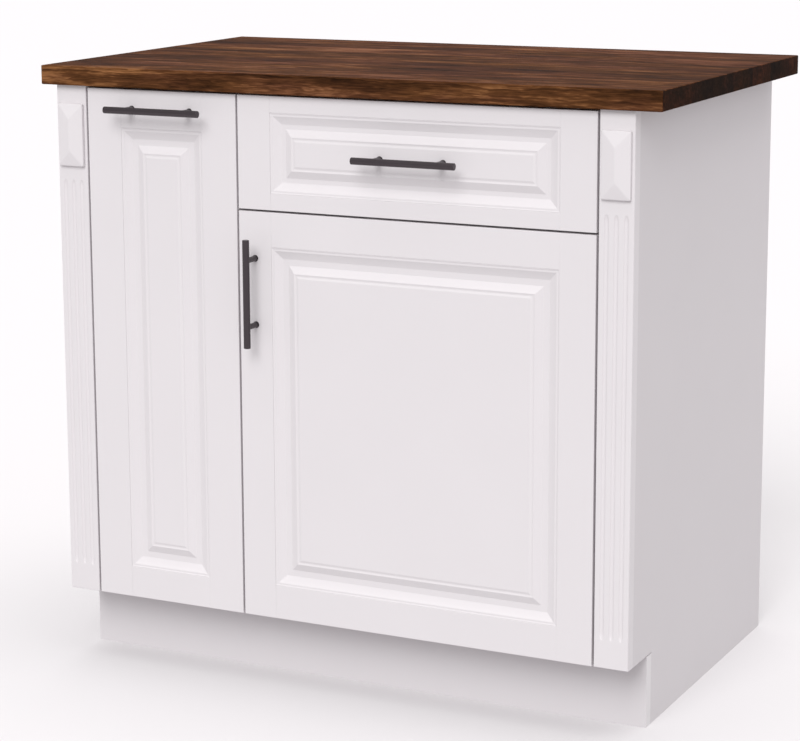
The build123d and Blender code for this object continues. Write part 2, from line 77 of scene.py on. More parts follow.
def setStops(ramp, stops):  # colour ramp stops from {place: hex}
    elements = ramp.color_ramp.elements
    while len(elements) < len(stops):
        elements.new(0.5)
    for element, (place, code) in zip(elements, sorted(stops.items())):
        element.position = place
        element.color = hexColour(code)


def pick(*pieces):
    bpy.ops.object.select_all(action="DESELECT")
    for piece in pieces:
        piece.select_set(True)
    bpy.context.view_layer.objects.active = pieces[0]


def settle(piece):  # puts a piece's place, turn and scale into its mesh
    pick(piece)
    bpy.ops.object.transform_apply(location=True, rotation=True, scale=True)


def addBox(name, low, high):
    bpy.ops.object.select_all(action="DESELECT")
    size = Vector(high) - Vector(low)
    bpy.ops.mesh.primitive_cube_add(size=1, location=(Vector(low) + Vector(high)) / 2, scale=size)
    piece = bpy.context.object
    piece.name = name
    settle(piece)
    return piece


def addRod(name, start, end, radius, sides=32):
    bpy.ops.object.select_all(action="DESELECT")
    run = Vector(end) - Vector(start)
    turn = run.to_track_quat("Z", "X").to_euler()
    place = (Vector(start) + Vector(end)) / 2
    bpy.ops.mesh.primitive_cylinder_add(
        vertices=sides, radius=radius, depth=run.length, location=place, rotation=turn
    )
    piece = bpy.context.object
    piece.name = name
    settle(piece)
    return piece


def extent(piece):
    corners = [Vector(v.co) for v in piece.data.vertices]
    return [Vector(f(c[i] for c in corners) for i in range(3)) for f in (min, max)]


def sidePlanes(piece):
    low, high = extent(piece)
    return {"left": (0, low.x), "right": (0, high.x), "front": (1, low.y),
            "back": (1, high.y), "bottom": (2, low.z), "top": (2, high.z)}


def isOn(points, planes, names):
    sides = [planes[name] for name in names]
    return all(abs(p[axis] - place) < tolerance["plane"] for axis, place in sides for p in points)


def roundEdges(piece, places, width, segments=3):  # each place names the sides that an edge lies on
    planes = sidePlanes(piece)
    pick(piece)
    bpy.ops.object.mode_set(mode="EDIT")
    bpy.ops.mesh.select_all(action="DESELECT")
    grid = bmesh.from_edit_mesh(piece.data)
    for edge in grid.edges:
        ends = [v.co for v in edge.verts]
        if any(isOn(ends, planes, names) for names in places):
            edge.select_set(True)
    bmesh.update_edit_mesh(piece.data)
    bpy.ops.mesh.bevel(offset=width, segments=segments, affect="EDGES")
    bpy.ops.object.mode_set(mode="OBJECT")


def modify(piece, kind, **settings):
    pick(piece)
    modifier = piece.modifiers.new(kind.title(), kind)
    for name, value in settings.items():
        setattr(modifier, name, value)
    bpy.ops.object.modifier_apply(modifier=modifier.name)


def smooth(piece, angle=32):  # rounded edges shade softly while the broad faces stay flat
    pick(piece)
    bpy.ops.object.mode_set(mode="EDIT")
    bpy.ops.mesh.select_all(action="SELECT")
    bpy.ops.mesh.remove_doubles(threshold=tolerance["fineWeld"])
    bpy.ops.object.mode_set(mode="OBJECT")
    bpy.ops.object.shade_smooth_by_angle(angle=math.radians(angle))
    modify(piece, "WEIGHTED_NORMAL", keep_sharp=True)


def cut(piece, *tools):  # takes the tools' shapes out of a piece
    for tool in tools:
        modify(piece, "BOOLEAN", operation="DIFFERENCE", solver="EXACT", object=tool)
        bpy.data.objects.remove(tool)


def dress(piece, material, body, slot, *nodes):
    piece.data.materials.clear()
    piece.data.materials.append(material)
    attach(piece, body)
    if nodes:
        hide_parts(*nodes)


# camera, light and floor
studio = {
    "cameraPlace": (1.5545, -3.2473, 1.2085),
    "cameraTurn": (26.68, 10.97, -0.32),  # round Z, down and over, in degrees
    "lens": 109.6,
    "shift": (0.03, -0.065),
    "floorSize": 200,
    "floorColour": "E4E2E3",
    # from straight down to straight up
    "air": {0.0: "C2BFC1", 0.495: "C2BFC1", 0.505: "C9C7C8", 1.0: "C9C7C8"},
    "fillFrom": (0.75, 0.65, 0),  # the side where the fill is strongest
    "fillRange": (0.92, 1.38),
    "lampDistance": 5,
}


def makeStudio():
    bpy.ops.object.select_all(action="DESELECT")
    bpy.ops.object.camera_add()
    camera = bpy.context.object
    yaw, pitch, roll = [math.radians(a) for a in studio["cameraTurn"]]
    turn = Matrix.Rotation(yaw, 4, "Z") @ Matrix.Rotation(math.pi / 2 - pitch, 4, "X")
    turn = turn @ Matrix.Rotation(roll, 4, "Z")
    camera.matrix_world = Matrix.Translation(studio["cameraPlace"]) @ turn
    camera.data.lens = studio["lens"]
    camera.data.shift_x, camera.data.shift_y = studio["shift"]
    scene.camera = camera

    bpy.ops.mesh.primitive_plane_add(size=studio["floorSize"])
    floor = bpy.context.object
    floor.name = "studioFloor"
    material = bpy.data.materials.new("paleFloor")
    material.use_nodes = True
    shader = material.node_tree.nodes["Principled BSDF"]
    shader.inputs["Base Color"].default_value = hexColour(studio["floorColour"])
    shader.inputs["Roughness"].default_value = 1
    shader.inputs["Specular IOR Level"].default_value = 0
    floor.data.materials.append(material)
    floor.visible_diffuse = False  # white to the eye, without lighting the mouldings from below

    world = bpy.data.worlds.new("studioAir")
    world.use_nodes = True
    tree = world.node_tree
    direction = addNode(tree, "TexCoord").outputs["Generated"]
    height = addNode(tree, "SeparateXYZ", links={"Vector": direction})
    climb = addNode(
        tree, "MapRange", {"From Min": -1, "From Max": 1}, {"Value": height.outputs["Z"]}
    )
    air = addNode(tree, "ValToRGB", links={"Fac": climb.outputs[0]})
    setStops(air, studio["air"])
    side = addNode(
        tree, "VectorMath", {"operation": "DOT_PRODUCT", 1: studio["fillFrom"]}, {0: direction}
    )
    weak, strong = studio["fillRange"]
    fill = addNode(
        tree, "MapRange",
        {"From Min": -1, "From Max": 1, "To Min": weak, "To Max": strong},
        {"Value": side.outputs["Value"]},
    )
    tree.links.new(air.outputs[0], tree.nodes["Background"].inputs["Color"])
    tree.links.new(fill.outputs[0], tree.nodes["Background"].inputs["Strength"])
    scene.world = world
    scene.view_settings.view_transform = "Standard"


lamps = {  # soft suns: where each shines from, its spread in degrees and its power
    "keySun": {"from": (0.085, -0.79, 0.60), "spread": 34, "power": 1.66},
    "topSun": {"from": (0.05, 0.1, 1.0), "spread": 60, "power": 1.0},
}


def makeLamps():
    for name, lamp in lamps.items():
        bpy.ops.object.select_all(action="DESELECT")
        bpy.ops.object.light_add(type="SUN", location=Vector(lamp["from"]) * studio["lampDistance"])
        light = bpy.context.object
        light.name = name
        light.data.angle = math.radians(lamp["spread"])
        light.data.energy = lamp["power"]
        light.rotation_euler = Vector(lamp["from"]).to_track_quat("Z", "Y").to_euler()


makeStudio()
makeLamps()
print("studio set up")


# the finish of every white board: its lightest and darkest tone, and the size and depth of its
# texture in metres
whites = {
    # foil pressed on fibreboard: satin, with a very fine orange peel
    "foiledFibreboard": {
        "light": "E7E3E5", "dark": "E4E0E2", "roughness": 0.42, "grain": 0.0012, "relief": 0.00002,
    },
    # melamine-faced chipboard: a flatter white with a fine pearl texture
    "melamineBoard": {
        "light": "DEDADC", "dark": "DBD7D9", "roughness": 0.5, "grain": 0.0016, "relief": 0.00004,
    },
    # ABS band ironed on the boards' edges: brighter and a little glossier than their faces
    "absEdgeBand": {
        "light": "EAE7E8", "dark": "E8E5E6", "roughness": 0.36, "grain": 0.0012, "relief": 0.00001,
    },
}

texture = {
    "clouds": 7,  # how many times a metre the whites wander between their tones
    "whiteBump": 0.6,
    "coatBump": 0.5,
    "coatSpread": 0.05,  # how far a coat's roughness wanders either way
}


def makeWhite(name, look):  # inputs 6 and 7 of a colour Mix node are its two colours
    material = bpy.data.materials.new(name)
    material.use_nodes = True
    tree = material.node_tree
    shader = tree.nodes["Principled BSDF"]
    shader.inputs["Roughness"].default_value = look["roughness"]
    place = addNode(tree, "TexCoord").outputs["Object"]
    cloud = addNode(tree, "TexNoise", {"Scale": texture["clouds"], "Detail": 2}, {"Vector": place})
    colour = addNode(
        tree, "Mix",
        {"data_type": "RGBA", 6: hexColour(look["dark"]), 7: hexColour(look["light"])},
        {0: cloud.outputs["Fac"]},
    )
    tree.links.new(colour.outputs[2], shader.inputs["Base Color"])
    peel = addNode(tree, "TexNoise", {"Scale": 1 / look["grain"], "Detail": 1}, {"Vector": place})
    bump = addNode(
        tree, "Bump", {"Strength": texture["whiteBump"], "Distance": look["relief"]},
        {"Height": peel.outputs["Fac"]},
    )
    tree.links.new(bump.outputs["Normal"], shader.inputs["Normal"])
    return material


# solid wood staves glued side by side, stained dark and oiled: growth rings and fine streaks
# along the grain, glue lines a shade darker, open pores and next to no gloss
stain = {
    "staveWidth": 0.043,
    "glueLine": 0.0008,
    "gloss": 0.025,
    "roughness": (0.78, 0.58),  # in the dark streaks and in the pale ones
    "bump": 0.5,
    "poreDepth": 0.0002,
    "jump": 9,  # how far apart in the noise two staves may be cut, in metres
    "ringWidth": 0.0024,
    "ringWaver": 0.02,
    "ringShare": 0.65,  # how much the growth rings show
    "pithSpread": (0.11, 0.13),  # how far sideways and up or down a pith may lie
    "pithHeight": 0.88,  # the height that it lies above or below
    "noise": {"Scale": 1, "Detail": 3, "Roughness": 0.6, "Distortion": 0.35},
    # colours from late wood to the palest fibre, and how much grain, stave tones and seams show
    "looks": {
        "oiledStaves": {
            "stops": {0.0: "1C110A", 0.35: "412818", 0.62: "5B3922", 1.0: "8E6648"},
            "grain": 1.05, "tone": 0.1, "seam": 0.72,
        },
        # the front and back edges: the same stain with its colours painted lighter, as painted light
        # for the lamp falling on them more directly
        "paintedLightStaveEdge": {
            "stops": {0.0: "20130D", 0.35: "432B1B", 0.62: "5E3E29", 1.0: "9A6F4E"},
            "grain": 1.05, "tone": 0.03, "seam": 0.9,
        },
        "oiledEndGrain": {
            "stops": {0.0: "0F0704", 0.4: "211308", 0.65: "30190C", 1.0: "4C2C16"},
            "grain": 0.8, "tone": 0.24, "seam": 0.5,
        },
    },
    "tints": ("FFF4DE", "F3E4F2"),  # the wood wanders between olive and plum
    "tintRange": (0.38, 0.62),  # the noise values at which it is all olive and all plum
    "layers": {  # repeats per metre along, across and through the grain, and each layer's weight
        "clouds": ((3.2, 15, 20), 1.1),
        "bands": ((8, 48, 60), 1.0),
        "streaks": ((18, 170, 190), 0.8),
        "fibres": ((50, 560, 480), 0.6),  # real fibres are finer, drawn coarser so that they show
    },
}


def makeStain(name, look):
    material = bpy.data.materials.new(name)
    material.use_nodes = True
    tree = material.node_tree
    shader = tree.nodes["Principled BSDF"]
    shader.inputs["Specular IOR Level"].default_value = stain["gloss"]
    place = addNode(tree, "TexCoord").outputs["Object"]
    axes = addNode(tree, "SeparateXYZ", links={"Vector": place})

    # which stave a point is in, and chances of its own for each stave
    across = addNode(
        tree, "Math", {"operation": "DIVIDE", 1: stain["staveWidth"]}, {0: axes.outputs["Y"]}
    )
    row = addNode(tree, "Math", {"operation": "FLOOR"}, {0: across.outputs[0]})
    chance = addNode(tree, "TexWhiteNoise", {"noise_dimensions": "1D"}, {"W": row.outputs[0]})

    # every stave is cut from its own piece of wood, so the grain jumps from one to the next
    jump = addNode(
        tree, "VectorMath", {"operation": "SCALE", "Scale": stain["jump"]},
        {0: chance.outputs["Color"]},
    )
    wood = addNode(tree, "VectorMath", {"operation": "ADD"}, {0: place, 1: jump.outputs[0]})
    total = addNode(
        tree, "MapRange", {"To Min": 0.5 - look["tone"], "To Max": 0.5 + look["tone"]},
        {"Value": chance.outputs["Value"]},
    ).outputs[0]
    heights, colours = {}, {}
    for layer, (repeats, weight) in stain["layers"].items():
        origin = place if layer in ("clouds", "bands") else wood.outputs[0]
        stretched = addNode(tree, "VectorMath", {"operation": "MULTIPLY", 1: repeats}, {0: origin})
        noise = addNode(tree, "TexNoise", stain["noise"], {"Vector": stretched.outputs[0]})
        heights[layer], colours[layer] = noise.outputs["Fac"], noise.outputs["Color"]
        centred = addNode(
            tree, "Math", {"operation": "SUBTRACT", 1: 0.5}, {0: noise.outputs["Fac"]}
        )
        total = addNode(
            tree, "Math", {"operation": "MULTIPLY_ADD", 1: weight * look["grain"]},
            {0: centred.outputs[0], 2: total},
        ).outputs[0]

    # growth rings round a pith that lies somewhere in or beside each stave
    part = addNode(tree, "Math", {"operation": "FRACT"}, {0: across.outputs[0]})
    luck = addNode(tree, "SeparateColor", links={"Color": chance.outputs["Color"]})
    pith = []
    for channel, spread in zip(("Red", "Green"), stain["pithSpread"]):
        pith.append(addNode(
            tree, "MapRange", {"To Min": -spread, "To Max": spread}, {"Value": luck.outputs[channel]}
        ).outputs[0])
    sideways = addNode(
        tree, "Math", {"operation": "MULTIPLY_ADD", 1: stain["staveWidth"]},
        {0: part.outputs[0], 2: pith[0]},
    )
    deep = addNode(tree, "Math", {"operation": "ADD"}, {0: axes.outputs["Z"], 1: pith[1]})
    deep = addNode(
        tree, "Math", {"operation": "SUBTRACT", 1: stain["pithHeight"]}, {0: deep.outputs[0]}
    )
    arm = addNode(tree, "CombineXYZ", links={"X": sideways.outputs[0], "Y": deep.outputs[0]})
    radius = addNode(tree, "VectorMath", {"operation": "LENGTH"}, {0: arm.outputs[0]})
    waver = addNode(
        tree, "Math", {"operation": "MULTIPLY_ADD", 1: stain["ringWaver"]},
        {0: heights["bands"], 2: radius.outputs["Value"]},
    )
    count = addNode(
        tree, "Math", {"operation": "DIVIDE", 1: stain["ringWidth"]}, {0: waver.outputs[0]}
    )
    rings = addNode(
        tree, "TexNoise", {"noise_dimensions": "1D", "Scale": 1, "Detail": 2}, {"W": count.outputs[0]}
    )
    centred = addNode(tree, "Math", {"operation": "SUBTRACT", 1: 0.5}, {0: rings.outputs["Fac"]})
    total = addNode(
        tree, "Math", {"operation": "MULTIPLY_ADD", 1: stain["ringShare"] * look["grain"]},
        {0: centred.outputs[0], 2: total},
    ).outputs[0]
    ramp = addNode(tree, "ValToRGB", links={"Fac": total})
    setStops(ramp, look["stops"])

    # the glue line between two staves, and the slow change of tint over them
    edge = addNode(tree, "Math", {"operation": "PINGPONG", 1: 0.5}, {0: part.outputs[0]})
    line = addNode(
        tree, "MapRange",
        {"From Max": stain["glueLine"] / stain["staveWidth"], "To Min": look["seam"], "To Max": 1},
        {"Value": edge.outputs[0]},
    )
    colour = addNode(
        tree, "Mix", {"data_type": "RGBA", "blend_type": "MULTIPLY", 0: 1},
        {6: ramp.outputs["Color"], 7: line.outputs[0]},
    )
    side = addNode(tree, "SeparateColor", links={"Color": colours["clouds"]})
    low, high = stain["tintRange"]
    lean = addNode(
        tree, "MapRange", {"From Min": low, "From Max": high}, {"Value": side.outputs["Green"]}
    )
    olive, plum = [hexColour(code) for code in stain["tints"]]
    tint = addNode(tree, "Mix", {"data_type": "RGBA", 6: olive, 7: plum}, {0: lean.outputs[0]})
    colour = addNode(
        tree, "Mix", {"data_type": "RGBA", "blend_type": "MULTIPLY", 0: 1},
        {6: colour.outputs[2], 7: tint.outputs[2]},
    )
    tree.links.new(colour.outputs[2], shader.inputs["Base Color"])
    dull, sleek = stain["roughness"]
    roughness = addNode(
        tree, "MapRange", {"To Min": dull, "To Max": sleek}, {"Value": heights["streaks"]}
    )
    tree.links.new(roughness.outputs[0], shader.inputs["Roughness"])
    bump = addNode(
        tree, "Bump", {"Strength": stain["bump"], "Distance": stain["poreDepth"]},
        {"Height": heights["fibres"]},
    )
    tree.links.new(bump.outputs["Normal"], shader.inputs["Normal"])
    return material


coats = {
    # dark lacquer over turned steel: satin, with a soft streak of light along the bar
    "graphiteLacquer": {
        "colour": "4A4447", "metallic": 0.85, "roughness": 0.34, "grain": 0.0009, "relief": 0.00001,
    },
    # rolled and zinc-plated sheet
    "zincSheet": {
        "colour": "B9BBBE", "metallic": 1, "roughness": 0.36, "grain": 0.003, "relief": 0.00001,
    },
    # nickel-plated die casting
    "nickelPlate": {
        "colour": "BDB9B2", "metallic": 1, "roughness": 0.22, "grain": 0.002, "relief": 0.00001,
    },
    # baked powder, slightly pebbled
    "powderCoat": {
        "colour": "A9ABAD", "metallic": 0.1, "roughness": 0.45, "grain": 0.0008, "relief": 0.00003,
    },
    # moulded acetal
    "greyAcetal": {
        "colour": "8E9092", "metallic": 0, "roughness": 0.5, "grain": 0.001, "relief": 0.00001,
    },
    # soft translucent polyurethane
    "clearPad": {
        "colour": "D9D9D6", "metallic": 0, "roughness": 0.25, "grain": 0.002, "relief": 0.00001,
    },
    # bare turned beech
    "bareBeech": {
        "colour": "C59E6F", "metallic": 0, "roughness": 0.6, "grain": 0.0007, "relief": 0.00003,
    },
}


def makeCoat(name, look):
    material = bpy.data.materials.new(name)
    material.use_nodes = True
    tree = material.node_tree
    shader = tree.nodes["Principled BSDF"]
    shader.inputs["Base Color"].default_value = hexColour(look["colour"])
    shader.inputs["Metallic"].default_value = look["metallic"]
    place = addNode(tree, "TexCoord").outputs["Object"]
    grain = addNode(tree, "TexNoise", {"Scale": 1 / look["grain"], "Detail": 2}, {"Vector": place})
    rough, spread = look["roughness"], texture["coatSpread"]
    wander = addNode(
        tree, "MapRange", {"To Min": rough - spread, "To Max": rough + spread},
        {"Value": grain.outputs["Fac"]},
    )
    tree.links.new(wander.outputs[0], shader.inputs["Roughness"])
    bump = addNode(
        tree, "Bump", {"Strength": texture["coatBump"], "Distance": look["relief"]},
        {"Height": grain.outputs["Fac"]},
    )
    tree.links.new(bump.outputs["Normal"], shader.inputs["Normal"])
    return material


finishes = {name: makeWhite(name, look) for name, look in whites.items()}
finishes.update({name: makeStain(name, look) for name, look in stain["looks"].items()})
finishes.update({name: makeCoat(name, look) for name, look in coats.items()})

# the finish of each of the record's slots, for the CAD nodes that stay
slotFinish = {
    "white_foil": "foiledFibreboard",
    "white_board": "melamineBoard",
    "stained_wood": "oiledStaves",
    "bare_wood": "bareBeech",
    "anthracite_metal": "graphiteLacquer",
    "zinc_steel": "zincSheet",
    "nickel": "nickelPlate",
    "grey_paint": "powderCoat",
    "grey_plastic": "greyAcetal",
    "clear_rubber": "clearPad",
}
for part in frame["record"]["subparts"]:
    node = frame["nodes"][part["node"]]
    finish = finishes[slotFinish[part["material_slot"]]]
    if not node.material_slots:
        node.data.materials.append(finish)
    for materialSlot in node.material_slots:
        materialSlot.material = finish
print("materials made")


worktop = {
    "edge": 0.0016,
    "sideTurn": 0.75,  # faces turned at least this far to a side take that side's finish: the ends the darker end grain, the front and back edges a copy of the stain with painted light
}


def makeWorktop():
    low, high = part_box("worktop")
    piece = addBox("stavedWorktop", low, high)
    modify(piece, "BEVEL", width=worktop["edge"], segments=3, limit_method="ANGLE")
    smooth(piece)
    dress(piece, finishes["oiledStaves"], "cabinet", "stained_wood", "worktop")
    for finish in ("paintedLightStaveEdge", "oiledEndGrain"):
        piece.data.materials.append(finishes[finish])
    for face in piece.data.polygons:
        if abs(face.normal.x) > worktop["sideTurn"]:
            face.material_index = 2
        elif abs(face.normal.y) > worktop["sideTurn"]:
            # the front and back edges take the copy of the stain with painted light
            face.material_index = 1


makeWorktop()
print("worktop made")


# framed fronts: stiles, rails and a raised panel
moulding = {
    # insets from the frame towards the field, each a width and a rise in mm
    "rim": ((1.2, -0.9), (2.8, 0), (4.5, -2.5), (7.0, -2.7)),
    "field": ((10.8, 5.1), (2.2, -0.6), (1.4, 0), (2.8, 0.9)),
    "joint": 0.0005,
    "outerEdge": 0.001,
    "softening": 0.0005,
    "softenAbove": 14,  # edges that turn more than this many degrees are softened
    "crease": 20,  # and those that still turn more than this stay sharp to the eye
}

fronts = {
    "door": {
        "body": "door", "stile": 0.052, "bottomRail": 0.050, "topRail": 0.050, "valley": 0.009,
    },
    "drawer_front": {
        "body": "drawer", "stile": 0.052, "bottomRail": 0.024, "topRail": 0.024, "valley": 0.0065,
    },
    "pullout_front": {
        "body": "pullout", "stile": 0.056, "bottomRail": 0.047, "topRail": 0.056, "valley": 0.009,
    },
}


def makePanel(name, low, high, valley):
    piece = addBox(name, low, high)
    joints = [("front", side) for side in ("left", "right", "top", "bottom")]
    roundEdges(piece, joints, moulding["joint"], 1)
    planes = sidePlanes(piece)
    pick(piece)
    bpy.ops.object.mode_set(mode="EDIT")
    bpy.ops.mesh.select_all(action="DESELECT")
    grid = bmesh.from_edit_mesh(piece.data)
    for face in grid.faces:
        if isOn([v.co for v in face.verts], planes, ["front"]):
            face.select_set(True)
    bmesh.update_edit_mesh(piece.data)
    for width, rise in (*moulding["rim"], (valley * 1000, 0), *moulding["field"]):
        bpy.ops.mesh.inset(thickness=width / 1000, depth=rise / 1000)
    bpy.ops.object.mode_set(mode="OBJECT")
    modify(piece, "BEVEL", width=moulding["softening"], segments=2, limit_method="ANGLE",
           angle_limit=math.radians(moulding["softenAbove"]))
    smooth(piece, moulding["crease"])
    return piece


def makeMember(name, low, high, outer, inner):
    piece = addBox(name, low, high)
    roundEdges(piece, [("front", side) for side in outer], moulding["outerEdge"], 3)
    roundEdges(piece, [("front", side) for side in inner], moulding["joint"], 1)
    smooth(piece)
    return piece


def makeFront(name, front):
    low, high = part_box(name + "_stiles")
    left, right = low.x + front["stile"], high.x - front["stile"]
    bottom, top = low.z + front["bottomRail"], high.z - front["topRail"]
    y0, y1 = low.y, high.y
    short = name.replace("_front", "")
    members = {  # two corners, the edges on the outside, the edges at joints, and the node
        "LeftStile": (
            (low.x, y0, low.z), (left, y1, high.z), ("left", "top", "bottom"), ("right",), "_stiles",
        ),
        "RightStile": (
            (right, y0, low.z), (high.x, y1, high.z), ("right", "top", "bottom"), ("left",), "_stiles",
        ),
        "BottomRail": (
            (left, y0, low.z), (right, y1, bottom), ("bottom",), ("left", "right", "top"), "_rails",
        ),
        "TopRail": (
            (left, y0, top), (right, y1, high.z), ("top",), ("left", "right", "bottom"), "_rails",
        ),
    }
    made = {}
    for part, (start, end, outer, inner, node) in members.items():
        piece = makeMember(short + part, start, end, outer, inner)
        dress(piece, finishes["foiledFibreboard"], front["body"], "white_foil", name + node)
        made[part] = piece
    corners = (left, y0, bottom), (right, y1, top)
    panel = makePanel(short + "RaisedPanel", *corners, front["valley"])
    dress(panel, finishes["foiledFibreboard"], front["body"], "white_foil", name + "_panel")
    return made


frontPieces = {name: makeFront(name, front) for name, front in fronts.items()}

hingeBore = {
    "radius": 0.0175,
    "depth": 0.013,
    "flange": 0.03,  # from the end of a cup's flange to the middle of the cup
    "overrun": 0.005,  # how far the cutter stands out of the stile
    "sides": 64,
}


def boreForCups():
    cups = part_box("hinge_cups")
    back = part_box("door_stiles")[1].y
    centre = (cups[0].x + cups[1].x) / 2
    tools = []
    for z in (cups[0].z + hingeBore["flange"], cups[1].z - hingeBore["flange"]):
        start = (centre, back - hingeBore["depth"], z)
        end = (centre, back + hingeBore["overrun"], z)
        tools.append(addRod("boreTool", start, end, hingeBore["radius"], hingeBore["sides"]))
    stile = frontPieces["door"]["RightStile"]
    cut(stile, *tools)
    smooth(stile)


boreForCups()
print("fronts made")


pilaster = {
    "edge": 0.0016,
    "fluteRadius": 0.004,
    "fluteDepth": 0.0019,
    "fluteSpacing": 0.014,
    "fluteEnd": 3,  # how many times longer than round the ends run out
    "fluteFoot": 0.050,
    "fluteHead": 0.030,
    "fluteSides": 32,
    "plate": 0.0055,
    "hip": 0.023,
    "softening": 0.0016,
    "softenAbove": 12,
    "crease": 25,
}


def makeFluteTool(x, y, bottom, top):  # an egg stretched into a rod with tapering ends
    bpy.ops.object.select_all(action="DESELECT")
    bpy.ops.mesh.primitive_uv_sphere_add(
        segments=pilaster["fluteSides"], ring_count=pilaster["fluteSides"] // 2,
        radius=pilaster["fluteRadius"], location=(x, y, bottom),
    )
    tool = bpy.context.object
    tool.scale.z = pilaster["fluteEnd"]
    settle(tool)
    bpy.ops.object.mode_set(mode="EDIT")
    bpy.ops.mesh.select_all(action="DESELECT")
    grid = bmesh.from_edit_mesh(tool.data)
    for face in grid.faces:
        if face.calc_center_median().z > bottom:
            face.select_set(True)
    bmesh.update_edit_mesh(tool.data)
    bpy.ops.mesh.extrude_region_move(TRANSFORM_OT_translate={"value": (0, 0, top - bottom)})
    bpy.ops.object.mode_set(mode="OBJECT")
    return tool


def makePilaster(side):
    low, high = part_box(side + "_pilaster")
    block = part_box(side + "_capital_block")
    piece = addBox(side + "FlutedPilaster", low, high)
    places = [("front", side) for side in ("left", "right", "bottom")]
    roundEdges(piece, places, pilaster["edge"], 3)
    y = low.y + pilaster["fluteDepth"] - pilaster["fluteRadius"]
    middle = (low.x + high.x) / 2
    span = (low.z + pilaster["fluteFoot"], block[0].z - pilaster["fluteHead"])
    tools = [
        makeFluteTool(middle + step * pilaster["fluteSpacing"], y, *span) for step in (-1, 0, 1)
    ]
    cut(piece, *tools)
    smooth(piece)
    dress(piece, finishes["foiledFibreboard"], "cabinet", "white_foil", side + "_pilaster")


def makeCapital(side):  # a flat block whose face rises to a ridge with hipped ends
    low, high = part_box(side + "_capital_block")
    plateFront = high.y - pilaster["plate"]
    piece = addBox(side + "CapitalBlock", (low.x, plateFront, low.z), high)
    planes = sidePlanes(piece)
    pick(piece)
    bpy.ops.object.mode_set(mode="EDIT")
    bpy.ops.mesh.select_all(action="DESELECT")
    grid = bmesh.from_edit_mesh(piece.data)
    for face in grid.faces:
        if isOn([v.co for v in face.verts], planes, ["front"]):
            face.select_set(True)
    bmesh.update_edit_mesh(piece.data)
    bpy.ops.mesh.extrude_region_move(TRANSFORM_OT_translate={"value": (0, low.y - plateFront, 0)})
    height = high.z - low.z
    centre = ((low.x + high.x) / 2, low.y, (low.z + high.z) / 2)
    ridge = 1 - 2 * pilaster["hip"] / height
    bpy.ops.transform.resize(value=(0, 1, ridge), center_override=centre)
    bpy.ops.mesh.select_all(action="SELECT")
    bpy.ops.mesh.remove_doubles(threshold=tolerance["weld"])
    bpy.ops.mesh.normals_make_consistent(inside=False)
    bpy.ops.object.mode_set(mode="OBJECT")
    modify(piece, "BEVEL", width=pilaster["softening"], segments=2, limit_method="ANGLE",
           angle_limit=math.radians(pilaster["softenAbove"]))
    smooth(piece, pilaster["crease"])
    dress(piece, finishes["foiledFibreboard"], "cabinet", "white_foil", side + "_capital_block")


for side in ("left", "right"):
    makePilaster(side)
    makeCapital(side)
print("pilasters made")


handle = {
    "endEdge": 0.0008,
    "postRadius": 0.004,
    "footRadius": 0.0048,
    "footThickness": 0.0014,
    "footEdge": 0.0004,
    "barSides": 48,
}


def makeHandle(name):  # each handle is named as the body that it rides on
    low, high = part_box(name + "_handle_bar")
    middle = (low + high) / 2
    size = high - low
    axis = 0 if size.x > size.z else 2
    along = Vector((1, 0, 0)) if axis == 0 else Vector((0, 0, 1))
    half = along * size[axis] / 2
    bar = addRod(name + "HandleBar", middle - half, middle + half, size.y / 2, handle["barSides"])
    ends = [("left",), ("right",)] if axis == 0 else [("bottom",), ("top",)]
    roundEdges(bar, ends, handle["endEdge"], 3)
    smooth(bar)
    dress(bar, finishes["graphiteLacquer"], name, "anthracite_metal", name + "_handle_bar")

    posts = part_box(name + "_handle_posts")
    reach = (posts[1] - posts[0])[axis] / 2 - handle["postRadius"]
    for number, way in enumerate((-1, 1), 1):
        root = middle + along * reach * way
        face = Vector((root.x, posts[1].y, root.z))
        post = addRod(f"{name}HandlePost{number}", root, face, handle["postRadius"])
        foot = addRod(
            "foot", face - Vector((0, handle["footThickness"], 0)), face, handle["footRadius"]
        )
        roundEdges(foot, [("front",)], handle["footEdge"], 2)
        pick(post, foot)
        bpy.ops.object.join()
        smooth(post)
        dress(post, finishes["graphiteLacquer"], name, "anthracite_metal", name + "_handle_posts")


for name in ("drawer", "pullout", "door"):
    makeHandle(name)
print("handles made")


# boards: the solids' own shapes with their sharp edges eased
board = {
    "easing": 0.0005,
    "easeAbove": 50,
    "bandTurn": 0.3,  # faces turned less than this to the board's thickness get the edge band
    "plinthGap": 0.0015,  # a thin shadow line between the plinth and the side panels' notches
    "cabinet": (
        "left_side_panel", "right_side_panel", "left_lining_panel", "right_lining_panel",
        "centre_partition", "bottom_panel", "front_top_rail", "back_top_rail", "plinth_board",
        "shelf", "back_panel",
    ),
    "drawer": (
        "drawer_left_side", "drawer_right_side", "drawer_inner_front", "drawer_back",
        "drawer_bottom",
    ),
}

shelfHoles = {
    "radius": 0.0025, "depth": 0.010, "spacing": 0.032, "countEachWay": 5, "overrun": 0.002,
    "sides": 16,
}


def camel(name):
    first, *rest = name.split("_")
    return first + "".join(word.title() for word in rest or ["board"])


def copySolid(node):  # a copy of a CAD node's mesh, its loose triangles merged into flat faces
    piece = bpy.data.objects.new(camel(node), frame["nodes"][node].data.copy())
    scene.collection.objects.link(piece)
    pick(piece)
    bpy.ops.object.mode_set(mode="EDIT")
    bpy.ops.mesh.select_all(action="SELECT")
    bpy.ops.mesh.remove_doubles(threshold=tolerance["weld"])
    bpy.ops.mesh.dissolve_limited(angle_limit=math.radians(1))
    bpy.ops.object.mode_set(mode="OBJECT")
    return piece


